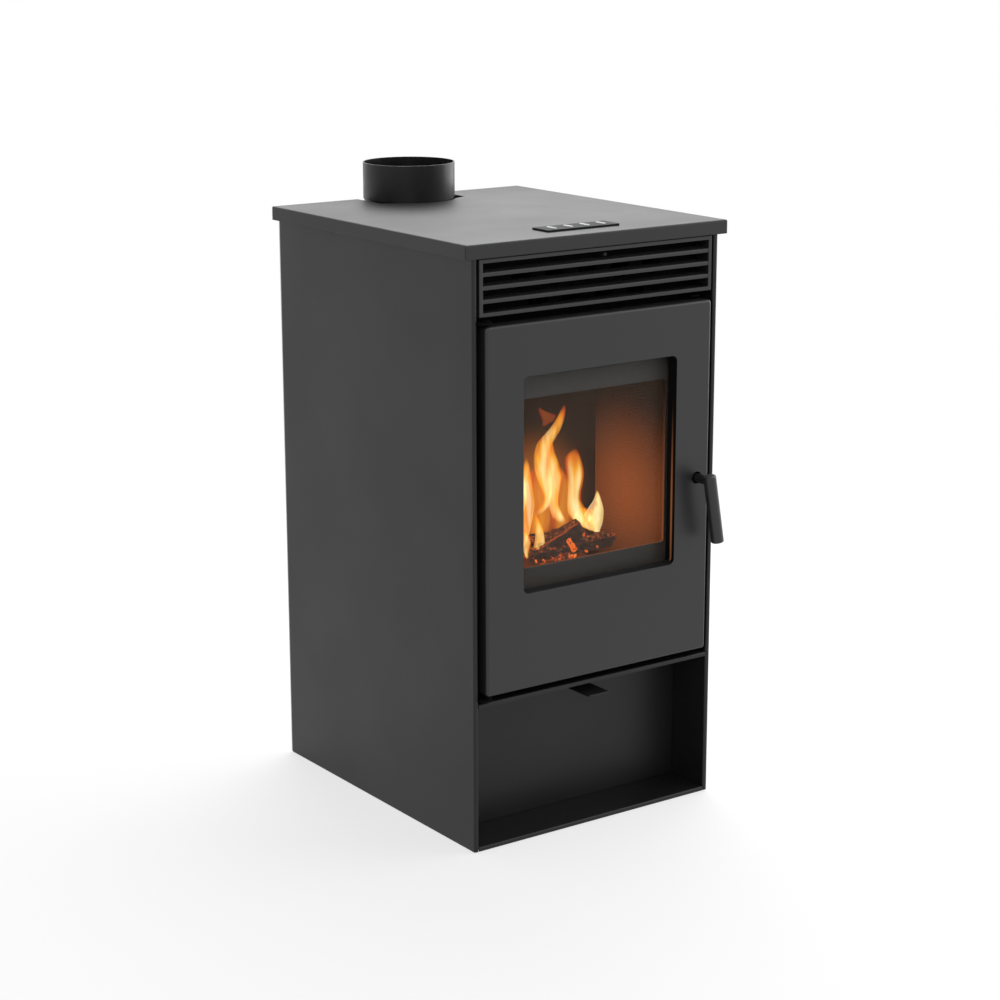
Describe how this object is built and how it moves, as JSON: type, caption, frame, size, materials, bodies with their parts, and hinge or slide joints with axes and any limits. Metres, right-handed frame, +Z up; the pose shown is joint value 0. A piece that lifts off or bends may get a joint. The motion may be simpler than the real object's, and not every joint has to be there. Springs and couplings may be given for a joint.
{
  "type": "pellet stove",
  "caption": "Free-standing pellet stove with a glazed hinged door over an open niche, an air grille, a lift-up top with a button panel, a hopper with auger, and a rear top flue collar.",
  "frame": {"origin": "on the floor, at the centre of the casing's footprint", "axes": "+Z up; the front with its door faces -Y; +X is to the right of a person facing the front, where the handle is"},
  "size_m": [0.476, 0.638, 0.97],
  "materials": {
    "casing_paint": "matt heat-resistant dark grey paint",
    "door_paint": "satin heat-resistant dark grey paint",
    "plate_paint": "satin grey paint that mirrors the flue softly",
    "inner_paint": "matt black heat-resistant paint",
    "flue_steel": "satin dark grey enamel",
    "zinc_steel": "zinc-coated sheet steel",
    "machined_steel": "bare machined steel",
    "weld_steel": "heat-darkened mild steel",
    "cast_iron": "rough cast iron, rust-brown from the heat",
    "ember": "glowing charred pellets",
    "charred_wood": "charred wood with glowing cracks",
    "seal_fibre": "woven heat-resistant fibre",
    "stove_glass": "clear heat-resistant glass",
    "handle_stem_paint": "gloss black",
    "handle_grip_paint": "satin mid grey",
    "panel_plastic": "glossy dark grey",
    "button_plastic": "glossy light grey",
    "board": "green circuit board",
    "inlet_plastic": "matt black",
    "glide_plastic": "matt black",
    "motor_housing": "cast aluminium",
    "fan_alloy": "sheet aluminium"
  },
  "bodies": {
    "casing": {"base_tray": "casing_paint", "glides": "glide_plastic", "left_side_panel": "casing_paint", "right_side_panel": "casing_paint", "rear_panel": "zinc_steel", "casing_screws": "machined_steel", "niche_liner": "casing_paint", "front_frame": "inner_paint", "air_grille": "casing_paint", "top_front_rail": "inner_paint", "hinge_brackets": "inner_paint", "hinge_pins": "machined_steel", "lid_hinge_pins": "machined_steel", "firebox_shell": "weld_steel", "exchanger_tubes": "weld_steel", "side_liners": "cast_iron", "back_liner": "cast_iron", "baffle_plate": "cast_iron", "pot_holder": "weld_steel", "burn_pot": "cast_iron", "ember_bed": "ember", "charred_logs": "charred_wood", "ash_pan": "zinc_steel", "igniter": "machined_steel", "smoke_collector": "weld_steel", "exhaust_pipe": "zinc_steel", "exhaust_fan_housing": "zinc_steel", "exhaust_motor": "motor_housing", "smoke_box": "inner_paint", "flue_collar": "flue_steel", "hopper": "zinc_steel", "auger_tube": "zinc_steel", "auger_motor": "motor_housing", "air_box": "zinc_steel", "air_intake_pipe": "zinc_steel", "blower_housing": "zinc_steel", "blower_motor": "motor_housing", "control_board": "board", "mains_inlet": "inlet_plastic"},
    "door": {"door_skin": "door_paint", "glass_gasket": "seal_fibre", "door_glass": "stove_glass", "door_frame": "inner_paint", "door_rope": "seal_fibre", "door_screws": "machined_steel"},
    "handle": {"handle_stem": "handle_stem_paint", "handle_grip": "handle_grip_paint", "latch_cam": "machined_steel"},
    "lid": {"top_plate": "plate_paint", "control_panel": "panel_plastic", "button_board": "board"},
    "button_1": {"button_1": "button_plastic"},
    "button_2": {"button_2": "button_plastic"},
    "button_3": {"button_3": "button_plastic"},
    "button_4": {"button_4": "button_plastic"},
    "scraper": {"tube_scraper": "machined_steel"},
    "air_slide": {"air_slide": "machined_steel"},
    "auger": {"auger_screw": "machined_steel"},
    "exhaust_fan": {"exhaust_impeller": "machined_steel"},
    "convection_fan": {"blower_rotor": "fan_alloy"}
  },
  "joints": [
    {"name": "door_hinge", "type": "hinge", "parent": "casing", "child": "door", "pos_m": [-0.2015, -0.271, 0.5], "axis": [0, 0, -1], "range_deg": [0, 110]},
    {"name": "handle_turn", "type": "hinge", "parent": "door", "child": "handle", "pos_m": [0.185, -0.28, 0.5207], "axis": [0, 1, 0], "range_deg": [0, 90]},
    {"name": "lid_hinge", "type": "hinge", "parent": "casing", "child": "lid", "pos_m": [0, -0.266, 0.896], "axis": [1, 0, 0], "range_deg": [0, 25]},
    {"name": "button_1_press", "type": "slide", "parent": "lid", "child": "button_1", "axis": [0, 0, -1], "range_m": [0, 0.001], "stiffness_N_per_m": 400},
    {"name": "button_2_press", "type": "slide", "parent": "lid", "child": "button_2", "axis": [0, 0, -1], "range_m": [0, 0.001], "stiffness_N_per_m": 400},
    {"name": "button_3_press", "type": "slide", "parent": "lid", "child": "button_3", "axis": [0, 0, -1], "range_m": [0, 0.001], "stiffness_N_per_m": 400},
    {"name": "button_4_press", "type": "slide", "parent": "lid", "child": "button_4", "axis": [0, 0, -1], "range_m": [0, 0.001], "stiffness_N_per_m": 400},
    {"name": "scraper_pull", "type": "slide", "parent": "casing", "child": "scraper", "axis": [0, -1, 0], "range_m": [0, 0.06]},
    {"name": "air_slide_pull", "type": "slide", "parent": "casing", "child": "air_slide", "axis": [0, -1, 0], "range_m": [0, 0.026]},
    {"name": "auger_spin", "type": "hinge", "parent": "casing", "child": "auger", "pos_m": [0, 0.1, 0.42], "axis": [0, -0.7071, 0.7071], "continuous": true},
    {"name": "exhaust_fan_spin", "type": "hinge", "parent": "casing", "child": "exhaust_fan", "pos_m": [-0.118, 0.15, 0.285], "axis": [0, 1, 0], "continuous": true},
    {"name": "convection_fan_spin", "type": "hinge", "parent": "casing", "child": "convection_fan", "pos_m": [0, 0.04, 0.088], "axis": [1, 0, 0], "continuous": true}
  ]
}
